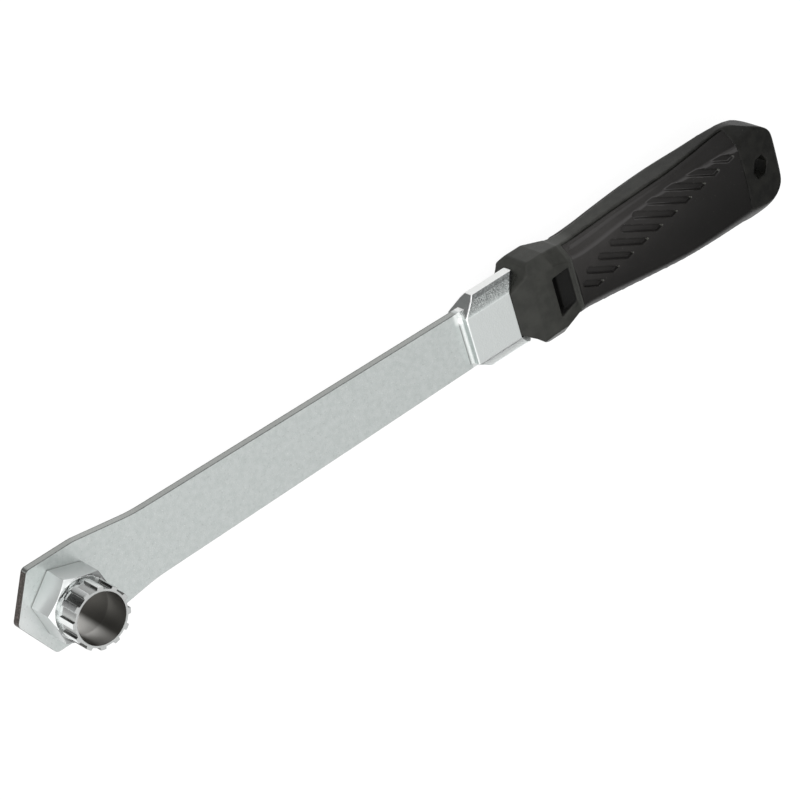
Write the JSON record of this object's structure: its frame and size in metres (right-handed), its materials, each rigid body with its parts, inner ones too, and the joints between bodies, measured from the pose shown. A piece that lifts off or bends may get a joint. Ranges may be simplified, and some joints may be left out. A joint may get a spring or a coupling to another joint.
{
  "type": "cassette lockring tool",
  "caption": "Flat plated steel lever with a splined lockring socket and nut standing on its hexagonal head, and a bevelled two-material handle with a hanging hole at the other end.",
  "frame": {"origin": "on the socket's bore axis, in the middle of the lever plate's thickness", "axes": "+X along the lever from the bore to the handle; +Y across the lever to the handle's straighter edge; +Z along the bore to the splined end of the socket"},
  "size_m": [0.3622, 0.042, 0.037],
  "materials": {
    "lever_plating": "satin plating over blasted forged steel, bright broken edges",
    "socket_steel": "bright satin plating over turned and broached steel",
    "core_plastic": "fine-textured hard moulding",
    "grip_rubber": "matte soft moulding with slanted slots"
  },
  "bodies": {
    "root": {"lever": "lever_plating", "lockring_socket": "socket_steel", "handle_core": "core_plastic", "grip_front": "grip_rubber", "grip_back": "grip_rubber"}
  },
  "joints": []
}
